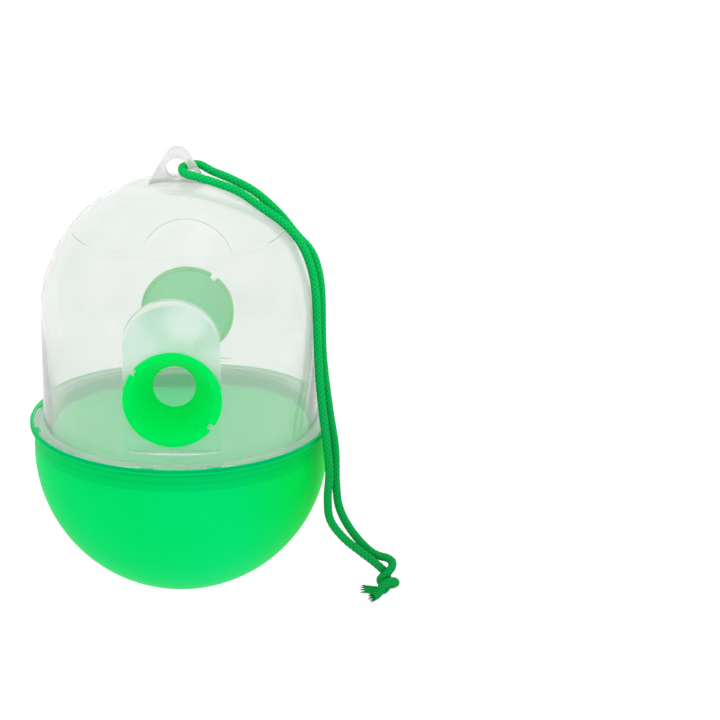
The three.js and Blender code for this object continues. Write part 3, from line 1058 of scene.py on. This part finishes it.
@dataclass
class ClearDome:
    """The clear dome, one moulding with its lug, pads, flange and skirt."""

    seat: Seat
    pad: PortPad = field(default_factory=PortPad)
    lug: Lug = field(default_factory=Lug)
    radius: float = 50.0
    wall: float = 1.2
    crown_z: float = 102.2
    crown_height: float = 48.0
    crease_r: float = 38.4  # where the mould's crown insert leaves a fine step
    crease_step: float = 0.2
    crease_deg: float = 0.15  # half the angle that the step takes
    flange_r: float = 53.5
    flange_bottom_z: float = 58.9
    flange_top_z: float = 60.0
    skirt_r: float = 51.8
    skirt_bottom_z: float = 52.4
    boss_depth: float = 9.0
    boss_edge: float = 0.5
    notch: float = 4.0  # depth and height of the tool that cuts a key's notch
    around: int = 192
    far: float = 80.0  # Y past everything, where cutting tools end
    flat: Pair = (0.995, 0.1)  # least Y of a pad face's normal, and its depth tolerance
    clear_haze: tuple[Pair, ...] = ((60.3, 0.34), (60.9, 0.17), (148.5, 0.17), (151.0, 0.5))
    pad_haze: tuple[Pair, ...] = ((84.0, 0.19), (101.0, 0.55))

    def crown(self, shrink: float, step: float) -> list[Pair]:
        """The crown's curve from the upright wall to the axis.

        Args:
            shrink: How far inside the outer surface it lies.
            step: How far the crown insert stands proud.

        Returns:
            Points (radius, height).
        """
        crease = math.degrees(math.acos(self.crease_r / self.radius))
        size = (self.radius - shrink, self.crown_height - shrink)
        raised = (size[0] + step, size[1] + step)
        lower = arc((0, self.crown_z), size, 0, crease - self.crease_deg, 34)
        upper = arc((0, self.crown_z), raised, crease + self.crease_deg, 90, 44)
        return lower + upper[:-1] + [(0, self.crown_z + raised[1])]

    def outer(self) -> Mesh:
        """The outer form with its flange and skirt.

        Returns:
            A closed solid in metres.
        """
        foot = rounded([
            (0, self.skirt_bottom_z), (self.skirt_r, self.skirt_bottom_z, 0.3),
            (self.skirt_r, self.flange_bottom_z, 0.15), (self.flange_r, self.flange_bottom_z, 0.2),
            (self.flange_r, self.flange_top_z, 0.3), (self.radius, self.flange_top_z, 1.2),
            (self.radius, self.crown_z)])
        return spun(foot[:-1] + self.crown(0.0, self.crease_step), self.around)

    def hollow(self) -> Mesh:
        """The space inside.

        Returns:
            A closed solid in metres.
        """
        inner = self.radius - self.wall
        skirt = self.skirt_r - self.wall
        foot = [(0, self.skirt_bottom_z - 10), (skirt, self.skirt_bottom_z - 10),
                (skirt, self.flange_bottom_z - self.wall), (inner, self.flange_top_z - self.wall)]
        space = spun(foot + self.crown(self.wall, 0.0), self.around)
        for side in (-1, 1):
            wall_y = side * (self.pad.plane_y - self.wall)
            tool = prism(self.pad.outline(self.wall), wall_y, side * self.far)
            space = combine(space, tool, Join.CUT)
        return space

    def shell(self) -> Mesh:
        """The whole moulding, before the small notches are cut.

        Returns:
            A closed solid in metres.
        """
        shape = self.outer()
        for side in (-1, 1):
            boss = prism(self.pad.outline(), side * (self.pad.plane_y - self.boss_depth),
                         side * self.pad.plane_y, self.boss_edge)
            shape = combine(shape, boss, Join.ADD)
            tool = prism(self.pad.outline(), side * self.pad.plane_y, side * self.far)
            shape = combine(shape, tool, Join.CUT)
        shape = combine(shape, self.lug.build(), Join.ADD)
        shape = combine(shape, self.hollow(), Join.CUT)
        return combine(shape, drill(self.pad.port_r, self.pad.port_z, 2 * self.far, 96), Join.CUT)

    def build(self) -> None:
        """Makes the dome, frosts its front pad and dresses it."""
        shape = self.shell()
        seat = self.seat
        notch_r = seat.key_inner_r - seat.gap + self.notch / 2
        for angle in seat.angles():
            notch = slab((notch_r, 0, self.flange_top_z - 1),
                         (self.notch, seat.key_width + 2 * seat.gap, self.notch), angle)
            shape = combine(shape, notch, Join.CUT)
        for face in shape.faces:
            centre = face.calc_center_median() / MM
            flat = abs(face.normal.y) > self.flat[0]
            flat = flat and abs(centre.y) > self.pad.plane_y - self.wall - self.flat[1]
            face.material_index = int(flat and centre.y < 0 and self.pad.holds(centre.x, centre.z))
        clear = ClearPolypropylene("moulded_polypropylene_clear", self.clear_haze, 0.02)
        frosted = ClearPolypropylene("moulded_polypropylene_frosted", self.pad_haze, 0.16, milk="#EAFFF4")
        dome = finish_object(shape, "moulded_dome", [clear.material(), frosted.material()], 12)
        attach(dome, "dome")
        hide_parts("clear_dome")
        LOG.info("dome: %d faces", len(dome.data.polygons))


# ---- Entry funnels ----


@dataclass
class EntryFunnel:
    """A funnel with a flat flange, two notches in its edge and two hooks that catch in the port."""

    name: str
    side: int  # -1 is the front and +1 the rear
    notch_deg: float
    pad: PortPad = field(default_factory=PortPad)
    flange_r: float = 17.65
    flange_t: float = 1.1
    mouth_r: float = 16.1
    bore_r: float = 15.4
    tip_r: float = 8.5
    hole_r: float = 7.3
    length: float = 14.0
    notch_width: float = 2.3
    notch_depth: float = 2.7
    dish: float = -0.8  # how far the flange's face slopes in before the cone starts
    notch_over: float = 0.6  # extra thickness of the tool that cuts a notch
    seat_gap: float = 0.3  # between the flange and the pad
    hook_gap: float = 1.8  # from the flange to the hooks' catching faces
    hook_width: float = 2.6
    hook_length: float = 3.6
    hook_root_r: float = 14.4  # inside the cone's wall at both ends of the wedge
    hook_foot_r: float = 12.5

    def body(self) -> Mesh:
        """The funnel turned about Z, with its outer face at z = 0 and its tip down.

        Returns:
            A closed solid in metres.
        """
        back = -self.flange_t
        tip = back - self.length
        middle = ((self.bore_r + self.hole_r) / 2, tip / 2)
        profile = rounded([
            middle, (self.hole_r, tip, 0.45), (self.tip_r, tip, 0.45), (self.mouth_r, back, 0.2),
            (self.flange_r, back, 0.3), (self.flange_r, 0, 0.35), (self.bore_r - 0.4, self.dish, 2.0),
            middle], 5)
        return spun(profile[:-1], 144, closed=True)

    def build(self, finish: Material) -> None:
        """Makes the funnel in its port and dresses it.

        Args:
            finish: The funnel's material.
        """
        shape = self.body()
        back = -self.flange_t
        for turn in (0, 180):
            angle = self.notch_deg + turn
            notch = slab((self.flange_r, 0, back / 2),
                         (2 * self.notch_depth, self.notch_width, self.flange_t + self.notch_over), angle)
            shape = combine(shape, notch, Join.CUT)
            shape = combine(shape, self.hook(back - self.hook_gap, angle), Join.ADD)
        for face in shape.faces:
            centre = face.calc_center_median() / MM
            outward = face.normal.x * centre.x + face.normal.y * centre.y > 0
            face.material_index = int(outward and centre.z < back - self.seat_gap)
        turn = Matrix.Rotation(math.pi / 2, 4, "X")
        if self.side > 0:
            turn = turn @ Matrix.Rotation(math.pi, 4, "Y")
        face_y = self.pad.plane_y + self.seat_gap + self.flange_t
        place = Vector((0, self.side * face_y, self.pad.port_z)) * MM
        bmesh.ops.transform(shape, verts=shape.verts, matrix=Matrix.Translation(place) @ turn)
        funnel = finish_object(shape, f"moulded_{self.name}", [finish, LIT_CONE.material()])
        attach(funnel, self.name.replace("_entry", ""))
        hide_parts(self.name)
        LOG.info("%s: %d faces", self.name, len(funnel.data.polygons))

    def hook(self, top: float, angle: float) -> Mesh:
        """The wedge on the cone that catches behind the dome's wall.

        Args:
            top: Height of the wedge's catching face.
            angle: Its angle about the funnel's axis.

        Returns:
            A closed solid in metres.
        """
        outline = [(self.hook_root_r, top), (self.hook_foot_r, top - self.hook_length), (self.mouth_r, top)]
        wedge = prism(outline, -self.hook_width / 2, self.hook_width / 2)
        bmesh.ops.rotate(wedge, verts=wedge.verts, matrix=Matrix.Rotation(math.radians(angle), 3, "Z"))
        return wedge


# ---- Main ----


def main() -> None:
    """Builds the studio, the cord and each moulding in order."""
    logging.basicConfig(level=logging.INFO, format="%(name)s: %(message)s")
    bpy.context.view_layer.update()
    studio = Studio()
    studio.place_camera()
    HangingCord().build()
    studio.light()
    studio.lay_floor()
    seat = Seat()
    BaitBowl(seat).build()
    ClearDome(seat).build()
    funnel_green = GreenPolypropylene("moulded_polypropylene_green_funnel", "#00F66E", "#00FC7C").material()
    EntryFunnel("front_entry_funnel", -1, notch_deg=143.0).build(funnel_green)
    EntryFunnel("rear_entry_funnel", 1, notch_deg=127.0).build(funnel_green)


if __name__ == "__main__":
    main()
